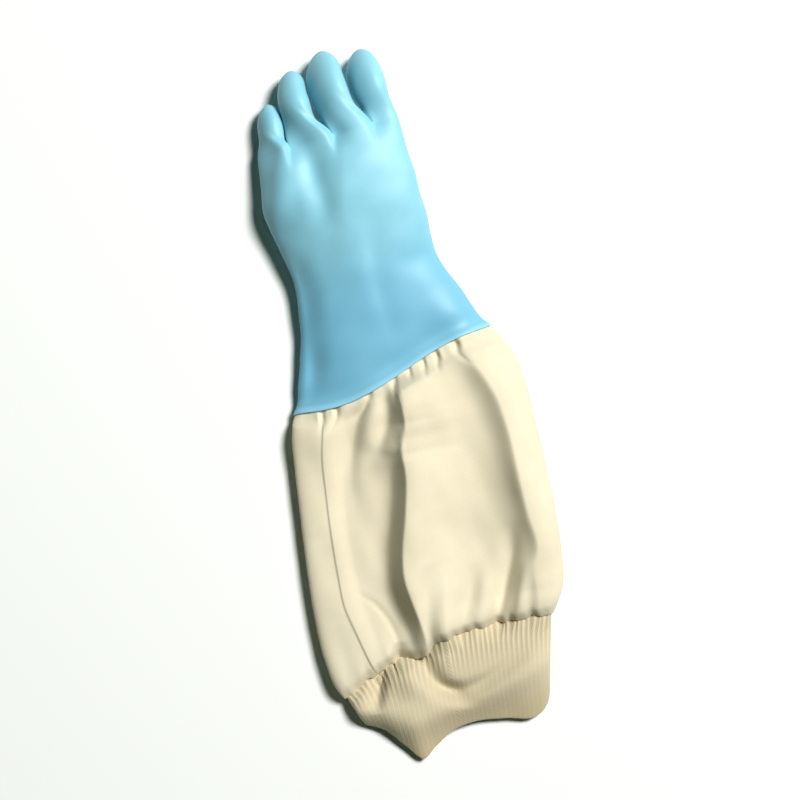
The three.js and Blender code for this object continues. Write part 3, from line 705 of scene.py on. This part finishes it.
# %% The cotton sleeve: its surface
GATHER_WAVES = (  # pleats across the width, where they start, height in mm, reach in mm
    (8.3, 0.4, 0.5, 24), (13.7, 2.1, 0.4, 13), (23.1, 4.4, 0.22, 6),
)
CUFF_SHARE = 0.35  # of those heights, at the cuff
LIPS = ((27.0, 0.6), (15.3, 0.7), (9.1, 0.45))  # how the cloth's edge wanders at the knit seam
BAND_BOW = 14.0
BAND_SKEW = -0.25
NOTCH = {"x": -24, "reach": 9, "depth": 7}
NOTCH_POWER = 6
ROLL_DEPTH = 5.5  # how far the cloth rolls down to the knit seam
ROLL_REACH = 8.0

row_table = np.array(SLEEVE_ROWS)
row_places = lengths_along((row_table[:, :2] + row_table[:, 2:4]) / 2)
SLEEVE_LENGTH = row_places[-1]
SLEEVE_TABLE = np.column_stack([row_places, row_table]).tolist()
print(f"sleeve: {SLEEVE_LENGTH:.0f} mm from seam to seam")


def creases(x, y):
    """Furrows along straight lines: depth * exp(-(d/w)^2), from the seam to where they end."""
    lines = [(width, width, 0, ((y0 + CREASE_START, x0, -depth), (y0, x0, -depth), (y1, x1, 0)))
             for y0, x0, y1, x1, depth, width in CUFF_CREASES]
    return folds(lines, x, y)


def gathers(across, from_seam):
    """The pleats at a seam, never above zero, so that the cloth stays under what it is sewn to."""
    total = 0
    for pleats, start, height, reach in GATHER_WAVES:
        wave = np.cos(math.pi * pleats * across + start) - 1
        total = total + height * wave * np.exp(-np.abs(from_seam) / reach)
    return total


def sleeve_surface(walk, across, up):
    """Points of the sleeve at a distance walk from the cuff's edge: a section between its two
    sides, puffed on top, with the folds and gathers, and rolled down at the knit seam."""
    xl, yl, xr, yr, top = smooth(SLEEVE_TABLE, walk)
    wide = (1 + across) / 2
    share = np.clip(walk / SLEEVE_LENGTH, 0, 1)
    on_top = np.maximum(0, up)
    x = xl + (xr - xl) * wide
    notch = NOTCH["depth"] * np.exp(-((x - NOTCH["x"]) / NOTCH["reach"]) ** 2)
    lips = sum(height * np.sin(2 * math.pi * x / length + length) for length, height in LIPS)
    cuff_bow = bowed(EDGE_BOW, EDGE_SKEW, across)
    band_bow = bowed(BAND_BOW, BAND_SKEW, across)
    bow = cuff_bow + (band_bow - cuff_bow) * share - (notch + lips) * share ** NOTCH_POWER
    y = yl + (yr - yl) * wide + bow * on_top
    to_band = SLEEVE_LENGTH - walk
    free = smoothstep(walk, *CUFF_FREE)
    lift = (folds(SLEEVE_FOLDS, x, y) + folds(SLEEVE_CROSS_FOLDS, y, x)
            + puffs(SLEEVE_PUFFS, x, y) + waves(np.stack([x, y, 0 * x], -1), CLOTH_WAVES)) * free
    lift = lift + creases(x, y) + gathers(across, walk) * CUFF_SHARE + gathers(across, to_band)
    roll = ROLL_DEPTH * np.clip(1 - to_band / ROLL_REACH, 0, 1) ** 2
    z = CLOTH_LOW + (top - CLOTH_LOW) * (1 + up) / 2 + lift * on_top - roll * up
    return np.stack([x, y, np.maximum(0, z)], -1)


def tucked_under(grid_of, places, depth):
    """Rows of a layer sewn under another: that one's rows at places, moved in by a depth."""
    grid = grid_of(places)
    return grid - depth * grid_normals(grid)


def eased(free, start, share):
    """Rows that begin at the row start and take up their own places as share goes from 0 to 1."""
    share = share[..., None]
    return start + (free - free[0]) * (1 - share) + (free - start) * share


def sleeve_grid(across, up):
    """The sleeve's rows. With t from 0 to 1 they stand at t - c sin(2 pi t) / (2 pi) of its length,
    so that they lie closer at both seams. Rows under the cuff come before them."""
    turn = np.linspace(0, 2 * math.pi, SLEEVE_ROWS_ALONG)[:, None]
    walk = SLEEVE_LENGTH * (turn - SEAM_CROWDING * np.sin(turn)) / (2 * math.pi)
    free = sleeve_surface(walk, across, up)
    height = np.sign(up) * lame_height(across, HAND_POWER)
    places = np.arange(TUCK, -PAST_END, -TUCK_STEP)[:, None] / CUFF_STEP
    tucked = tucked_under(lambda p: palm_surface(p, 0, across, height, 0), places,
                          LATEX_WALL + SEAM_GAP)
    tucked[..., 2] += (creases(tucked[..., 0], tucked[..., 1])
                       + CUFF_SHARE * gathers(across, 0)) * np.maximum(0, up)
    return np.concatenate([tucked[:-1], eased(free, tucked[-1], smoothstep(walk, *CUFF_EASE))])


# Stretches of the top that take more columns: all of it, the pleat, and the two long folds.
SLEEVE_DENSE = ((-1, 1, 1.6), (-0.79, -0.58, 2.6), (-0.3, 0.06, 1.5), (0.55, 0.88, 1.4))
SLEEVE_SPAN = (190, 26)  # mm, the width and height by which its columns are spaced


def make_cotton_sleeve():
    """The sleeve, with the twill's UV in metres of cloth, round it and along it."""
    across, up = section(SLEEVE_COLUMNS, CLOTH_POWER, *SLEEVE_SPAN, dense=SLEEVE_DENSE)
    grid = sleeve_grid(across, up)
    ring = grid[len(grid) // 2]
    around = lengths_along(np.concatenate([ring, ring[:1]])) * MM
    along = lengths_along(grid[:, 0]) * MM
    print(f"cotton sleeve: {grid.shape[0]} rows of {grid.shape[1]} points")
    return tube_object("cotton_drill_sleeve", grid, COTTON_WALL, around, along)


sleeve = make_cotton_sleeve()

# %% [markdown]
# ## The knit band
# The band is a rib knit: columns of loops that stand up in turn, so that it stretches over the
# hand. Its ribs are real shapes here, because they show at the seam. The stitches on them are too
# fine for a mesh, so they are left to the finish.

# %% The knit band
KNIT_WALL = 1.8
RIBS = 88  # all round, which puts them 4 mm apart
RIB_POINTS = 6
RIB_DEPTH = (0.32, 0.04)  # at the seam, and where the band is stretched flat
RIB_NARROWING = 0.25  # how much narrower a rib is than the furrow beside it
RIB_FADE = (0.05, 0.5)  # the shares of the band's length between which it fades
MOUTH_SHADE_FADE = (0.62, 0.95)  # painted shade: those between which it darkens towards the mouth
BAND_STEP = 1.4
BAND_LENGTH = 55.0  # about, in mm, which gives the number of rows
BAND_SPAN = (170, 20)  # mm, the width and height by which its columns are spaced
BAND_TUCK = 7.0
BAND_SEAM_GAP = 1.2
BAND_INSET = COTTON_WALL + BAND_SEAM_GAP + RIB_DEPTH[0]
BAND_EASE = (0, 0.22)  # the shares of its length over which the band takes up its own shape
BAND_MOUTH = (-80, -243, 67, -246)  # the little finger's side x and y and the thumb's
# How far the mouth's edge lies beyond the line between its two sides.
MOUTH_EDGE = (
    (-1, 0), (-0.8, -7), (-0.62, -22), (-0.47, -34), (-0.3, -26), (-0.1, -17), (0.15, -13),
    (0.5, -15), (0.8, -17.5), (0.92, -12.5), (0.98, -6), (1, -2),
)
MOUTH_POWER = 1.3
BAND_HEIGHTS = ((0, 17), (0.3, 20), (0.6, 20), (0.8, 15), (1, 8))
BAND_FOLDS = (
    (7, 9, 0, ((-190, -24, -4), (-205, -24, -8), (-221, -18, -8), (-231, -8, -6), (-246, 4, 0))),
    (14, 8, 0, ((-195, -42, 1), (-213, -38, 5), (-232, -38, 0))),
    (8, 5, 0, ((-198, -59, -8), (-212, -61, -11), (-222, -65, -9), (-236, -68, 0))),
)
# Folds across the band, by x, the crest's y and the height. Here left is the mouth's side.
BAND_CROSS_FOLDS = (
    (12, 13, 0, ((-75, -240, 0.5), (-49, -249, 4), (-14, -244, 6), (22, -238, 6), (44, -231, 6),
     (59, -224, 5), (74, -216, 2))),
    (8, 6, 0, ((-28, -224, 0), (-12, -229, -6), (6, -231, -7), (30, -224, -4), (58, -212, 0))),
)
FOLDS_START = (0, 0.08)  # the shares of the band's length over which its folds rise from the seam


def band_surface(share, across, up):
    """Points of the band without its folds, from the seam's line at share 0 to the mouth's at 1,
    with its own heights."""
    seam = row_table[-1, :4] + np.array([BAND_INSET, 0, -BAND_INSET, 0])
    xl, yl, xr, yr = (start + (end - start) * share for start, end in zip(seam, BAND_MOUTH))
    wide = (1 + across) / 2
    edge = smooth(MOUTH_EDGE, across)[0]
    bow = bowed(BAND_BOW, BAND_SKEW, across) * np.maximum(0, up)
    x = xl + (xr - xl) * wide
    y = yl + (yr - yl) * wide + bow + (edge - bow) * share ** MOUTH_POWER
    height = smooth(BAND_HEIGHTS, share)[0]
    z = CLOTH_LOW + (height - CLOTH_LOW) * (1 + up) / 2
    return np.stack([x, y, np.maximum(0, z)], -1)


def make_knit_band():
    """The band with its ribs: at a turn a, a rib stands out by its depth times
    cos(a) + n cos(2a) - n. U counts the ribs, and V is in metres of knit."""
    across, up = section(RIBS * RIB_POINTS, CLOTH_POWER, *BAND_SPAN)
    walk = np.arange(SLEEVE_LENGTH - BAND_TUCK, SLEEVE_LENGTH + PAST_END, BAND_STEP)[:, None]
    tucked = tucked_under(lambda w: sleeve_surface(w, across, up), walk, BAND_INSET)
    shares = np.linspace(0, 1, round(BAND_LENGTH / BAND_STEP))[:, None]
    free = eased(band_surface(shares, across, up), tucked[-1], smoothstep(shares, *BAND_EASE))
    x, y = free[..., 0], free[..., 1]
    lift = folds(BAND_FOLDS, x, y) + folds(BAND_CROSS_FOLDS, y, x)
    free[..., 2] += lift * np.maximum(0, up) * smoothstep(shares, *FOLDS_START)
    grid = np.concatenate([tucked[:-1], free])
    share = np.concatenate([np.zeros(len(tucked) - 1), shares[:, 0]])[:, None]
    turn = 2 * math.pi * np.arange(len(across)) / RIB_POINTS
    depth = RIB_DEPTH[0] + (RIB_DEPTH[1] - RIB_DEPTH[0]) * smoothstep(share, *RIB_FADE)
    rib = (np.cos(turn) + RIB_NARROWING * np.cos(2 * turn) - RIB_NARROWING) * depth
    grid = grid + grid_normals(grid) * rib[..., None]
    grid[..., 2] = np.maximum(0, grid[..., 2])
    around = np.arange(len(across) + 1) / RIB_POINTS
    along = np.arange(len(grid)) * BAND_STEP * MM
    # painted shade: the knit darkens towards the mouth, where the band turns down away from the lamp
    mouth = np.broadcast_to(smoothstep(share, *MOUTH_SHADE_FADE), rib.shape)
    print(f"knit band: {RIBS} ribs, {grid.shape[0]} rows of {grid.shape[1]} points")
    return tube_object("rib_knit_band", grid, KNIT_WALL, around, along, rib=rib, mouth=mouth)


band = make_knit_band()

# %% [markdown]
# ## Finishes
# Each finish is a small net of nodes. One function adds a node and fills its inputs, and short
# helpers stand for the nodes that come back, so a finish reads as a list of steps.

# %% Finishes: the helpers


def add(tree, kind, settings=None, inputs=None):
    """Adds a shader node, sets its settings, and gives its inputs values or other nodes' outputs."""
    node = tree.nodes.new("ShaderNode" + kind)
    for key, setting in (settings or {}).items():
        setattr(node, key, setting)
    for key, given in (inputs or {}).items():
        if isinstance(given, bpy.types.NodeSocket):
            tree.links.new(given, node.inputs[key])
        else:
            node.inputs[key].default_value = given
    return node


def new_finish(name, **shader_values):
    """A material with its shader, whose even values are set on the shader's own sockets."""
    material = bpy.data.materials.new(name)
    material.use_nodes = True
    tree = material.node_tree
    tree.nodes.clear()
    shader = add(tree, "BsdfPrincipled",
                 inputs={key.replace("_", " "): v for key, v in shader_values.items()})
    add(tree, "OutputMaterial", inputs={"Surface": shader.outputs["BSDF"]})
    return material, tree, shader


def attribute(tree, name):
    return add(tree, "Attribute", {"attribute_name": name}).outputs["Fac"]


def noise(tree, place, size, detail, roughness=0.5):
    """Cloudy noise with features of a size in mm."""
    inputs = {"Vector": place, "Scale": 1 / (size * MM), "Detail": detail, "Roughness": roughness}
    return add(tree, "TexNoise", inputs=inputs).outputs["Fac"]


def ramp(tree, value, start, end, top=1.0, course="SMOOTHSTEP"):
    """0 where a value is at start, and top where it is at end."""
    inputs = {"Value": value, "From Min": start, "From Max": end, "To Max": top}
    return add(tree, "MapRange", {"interpolation_type": course}, inputs).outputs[0]


def blend(tree, share, first, second):
    """A colour that goes from the first to the second as share goes from 0 to 1."""
    return add(tree, "Mix", {"data_type": "RGBA"}, {0: share, 6: first, 7: second}).outputs[2]


def shade(tree, shader, colour, height, strength, depth):
    """Gives the shader its colour, and a bump by a height, with a strength and a depth in mm."""
    inputs = {"Height": height, "Strength": strength, "Distance": depth * MM}
    tree.links.new(add(tree, "Bump", inputs=inputs).outputs[0], shader.inputs["Normal"])
    tree.links.new(colour, shader.inputs["Base Color"])


def waves_of(length):
    """A wave texture's scale for waves of a length in mm: it draws 20 / 2 pi waves a unit."""
    return 2 * math.pi / (20 * length * MM)


# %% [markdown]
# Dipped natural latex has a soft, dry shine: the film dries against air, then it is washed and
# dusted. Its blue varies a little where the film is thick or rubbed. Towards the cuff it is painted
# deeper, as painted shade where the cuff turns away from the lamp, and along the rolled edge it is
# painted lighter, as a painted highlight. A close look shows the grain of the dried film.

# %% Finishes: latex
LATEX = linear("9bd4e4")
LATEX_DEEP = linear("8bc5d5")
# painted shade: the deeper blue of the cuff, where it turns away from the lamp
LATEX_CUFF_SHADE = linear("7ab7d1")
# painted highlight: the lighter blue along the cuff's rolled edge
LATEX_EDGE_HIGHLIGHT = linear("97cbe2")
LATEX_CLOUD = 24  # mm across its thicker and thinner places
LATEX_GRAIN = 1.6
# The places in PALM_ROWS where the film starts and ends to turn to the painted shade of the cuff,
# or to the painted highlight of its edge, and how far it turns.
CUFF_SHADE_TONE = (5.5, 2.0, 0.85)
EDGE_HIGHLIGHT_TONE = (0.24, 0.06, 1.0)


def dipped_natural_latex():
    material, tree, shader = new_finish("dipped_natural_latex", Roughness=0.52, IOR=1.52)
    place = add(tree, "TexCoord").outputs["Object"]
    from_edge = attribute(tree, "place")
    tone = blend(tree, noise(tree, place, LATEX_CLOUD, 5.0, 0.6), LATEX_DEEP, LATEX)
    # painted shade: the blue deepens towards the cuff
    tone = blend(tree, ramp(tree, from_edge, *CUFF_SHADE_TONE), tone, LATEX_CUFF_SHADE)
    # painted highlight: a lighter strip along the rolled edge
    tone = blend(tree, ramp(tree, from_edge, *EDGE_HIGHLIGHT_TONE), tone, LATEX_EDGE_HIGHLIGHT)
    shade(tree, shader, tone, noise(tree, place, LATEX_GRAIN, 2.0), 0.25, 0.12)
    return material


# %% [markdown]
# Cotton drill is a twill: its threads cross in steps, which gives fine slanting lines. The real
# lines are 0.6 mm apart, too fine to show here, so they are drawn 2.4 mm apart. Unbleached cotton
# keeps its cream colour, with slubs a little darker. A light fuzz gives it sheen.

# %% Finishes: cotton
COTTON = linear("e5dcc3")
COTTON_DEEP = linear("d9ceb4")
COTTON_CLOUD = 22  # mm across its lighter and darker places
TWILL_STEP = 2.4


def cotton_drill():
    material, tree, shader = new_finish("cotton_drill", Roughness=0.92, Sheen_Weight=0.25,
                                        Sheen_Roughness=0.5)
    places = add(tree, "TexCoord").outputs
    tone = blend(tree, noise(tree, places["Object"], COTTON_CLOUD, 4.0), COTTON_DEEP, COTTON)
    inputs = {"Vector": places["UV"], "Scale": waves_of(TWILL_STEP), "Distortion": 0.6,
              "Detail": 1.0}
    twill = add(tree, "TexWave", {"wave_type": "BANDS", "bands_direction": "DIAGONAL"}, inputs)
    shade(tree, shader, tone, twill.outputs["Fac"], 0.09, 0.12)
    return material


# %% [markdown]
# The rib knit is of thicker, softer yarn. Each rib is a column of loops, which look like a chain
# of Vs: along the rib the pattern is a wave, and it slants up on both sides of the rib's middle.
# With u round the band in ribs and v along it in rows, its height is the sine of 2 pi (v + 3 |u|).

# %% Finishes: knit
KNIT = linear("d4c8ac")
# painted shade: the knit is painted darker in the furrows between the ribs
KNIT_FURROW_SHADE = linear("beb192")
# painted shade: the darker tan of the knit towards the mouth
KNIT_MOUTH_SHADE = linear("c6b797")
STITCH_ROW = 2.6  # mm, coarser than real, so that it shows
STITCH_SLANT = 3.0
RIB_SHADE_TONE = (-RIB_DEPTH[0], 0.1)  # mm out of the knit's middle: furrow shade to rib colour


def reckon(tree, operation, *terms):
    """The outcome of a Math node."""
    return add(tree, "Math", {"operation": operation}, dict(enumerate(terms))).outputs[0]


def rib_knit():
    material, tree, shader = new_finish("rib_knit", Roughness=0.95, Sheen_Weight=0.35,
                                        Sheen_Roughness=0.5)
    # painted shade: darker in the furrows, the knit's own colour on the ribs
    out_of_furrow_shade = ramp(tree, attribute(tree, "rib"), *RIB_SHADE_TONE, course="LINEAR")
    tone = blend(tree, out_of_furrow_shade, KNIT_FURROW_SHADE, KNIT)
    # painted shade: the knit darkens towards the mouth, where the band turns down away from the lamp
    tone = blend(tree, attribute(tree, "mouth"), tone, KNIT_MOUTH_SHADE)
    uv = add(tree, "SeparateXYZ", inputs={0: add(tree, "TexCoord").outputs["UV"]}).outputs
    column = reckon(tree, "PINGPONG", uv["X"], 0.5)
    slant = reckon(tree, "MULTIPLY", column, STITCH_SLANT)
    rows = reckon(tree, "MULTIPLY", uv["Y"], 1 / (STITCH_ROW * MM))
    turn = reckon(tree, "MULTIPLY", reckon(tree, "ADD", rows, slant), 2 * math.pi)
    shade(tree, shader, tone, reckon(tree, "SINE", turn), 0.2, 0.3)
    return material


hand.data.materials.append(dipped_natural_latex())
sleeve.data.materials.append(cotton_drill())
band.data.materials.append(rib_knit())

# %% [markdown]
# ## The table and the light
# The glove lies on a plain pale table. One large soft lamp stands to the right of the fingers,
# about 56 degrees up, and the room fills the shadows. The photograph has strong darks, so the
# view is set to a little more contrast.

# %% The table and the light
FLOOR_HALF = 4000.0
FLOOR_DROP = 0.2  # just under the glove, so that no two faces share a plane
LIGHT_WAY = Vector((0.494, 0.263, 0.829))  # from the glove towards the lamp
LIGHT_DISTANCE = 5.0
LIGHT_SIZE = 1.5
LIGHT_POWER = 280.0
FILL = 0.06
FILL_COLOUR = linear("c4f0d0")
TABLE_COLOUR = linear("f4f5f2")


def pale_table():
    material = new_finish("pale_table", Roughness=0.9, Base_Color=TABLE_COLOUR)[0]
    corners = np.array([(-1, -1), (1, -1), (1, 1), (-1, 1)]) * FLOOR_HALF
    points = np.column_stack([corners, np.full(4, -FLOOR_DROP)])
    floor = new_object("pale_table", points, [np.arange(4)])
    floor.data.materials.append(material)
    return floor


def soft_light():
    data = bpy.data.lights.new("soft_lamp", "AREA")
    data.shape = "DISK"
    data.size = LIGHT_SIZE
    data.energy = LIGHT_POWER
    aimed("soft_lamp", data, LIGHT_WAY.normalized() * LIGHT_DISTANCE, Vector((0, 0, 0)),
          Vector((0, 0, 1)))


def room_fill():
    world = bpy.data.worlds.new("room")
    bpy.context.scene.world = world
    world.use_nodes = True
    tree = world.node_tree
    tree.nodes.clear()
    light = add(tree, "Background", inputs={"Color": FILL_COLOUR, "Strength": FILL})
    add(tree, "OutputWorld", inputs={"Surface": light.outputs[0]})


pale_table()
soft_light()
room_fill()
bpy.context.scene.view_settings.view_transform = "Standard"
bpy.context.scene.view_settings.look = "Medium High Contrast"

# %% [markdown]
# ## The pieces in place
# Each piece is hung on the root body, and the imported solid that it stands for is hidden.

for piece, node, slot in ((hand, "latex_hand", "latex"), (sleeve, "cotton_sleeve", "cotton"),
                          (band, "knit_band", "knit")):
    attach(piece, "root")
    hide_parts(node)
